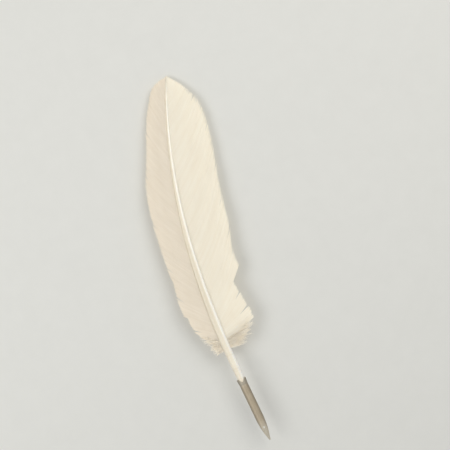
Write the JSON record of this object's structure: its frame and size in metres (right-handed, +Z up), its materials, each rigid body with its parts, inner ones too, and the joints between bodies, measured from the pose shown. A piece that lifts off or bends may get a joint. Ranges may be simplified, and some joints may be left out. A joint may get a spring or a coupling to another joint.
{
  "type": "quill pen",
  "caption": "Curved ivory goose-feather quill with a slip-on bronze-coloured steel nib whose tines flex apart.",
  "frame": {"origin": "the foot of the nib's writing point, at the slit", "axes": "+Z up along the barrel from the nib to the feather, +X towards the wide inner vane and the side the feather bends to, -Y out of the nib's crest and the feather's convex face"},
  "size_m": [0.066, 0.0119, 0.2254],
  "materials": {
    "shaft_horn": "smooth cured feather horn, slightly translucent",
    "pith": "dry white foam-like pith",
    "inner_barbs": "matt ivory feather barbs",
    "outer_barbs": "matt ivory feather barbs, slightly darker",
    "down": "loose fluffy barbs",
    "nib_steel": "bronze-plated steel sheet, satin"
  },
  "bodies": {
    "feather": {"quill_shaft": "shaft_horn", "rachis_pith": "pith", "inner_vane": "inner_barbs", "inner_vane_lower_lobe": "inner_barbs", "inner_down": "down", "outer_vane": "outer_barbs", "outer_vane_middle_lobe": "outer_barbs", "outer_vane_lower_lobe": "outer_barbs", "outer_down": "down"},
    "nib": {"nib_body": "nib_steel"},
    "left_tine": {"nib_left_tine": "nib_steel"},
    "right_tine": {"nib_right_tine": "nib_steel"}
  },
  "joints": [
    {"name": "nib_slide", "type": "slide", "parent": "feather", "child": "nib", "axis": [0, 0, -1], "range_m": [0, 0.02]},
    {"name": "left_tine_flex", "type": "hinge", "parent": "nib", "child": "left_tine", "pos_m": [-0.00113, -0.00054, 0.0086], "axis": [-0.8781, 0.4785, 0], "range_deg": [0, 4]},
    {"name": "right_tine_flex", "type": "hinge", "parent": "nib", "child": "right_tine", "pos_m": [0.00113, -0.00054, 0.0086], "axis": [-0.8781, -0.4785, 0], "range_deg": [0, 4]}
  ],
  "couplings": [
    {"joint": "left_tine_flex", "follows": "right_tine_flex", "ratio": 1}
  ]
}
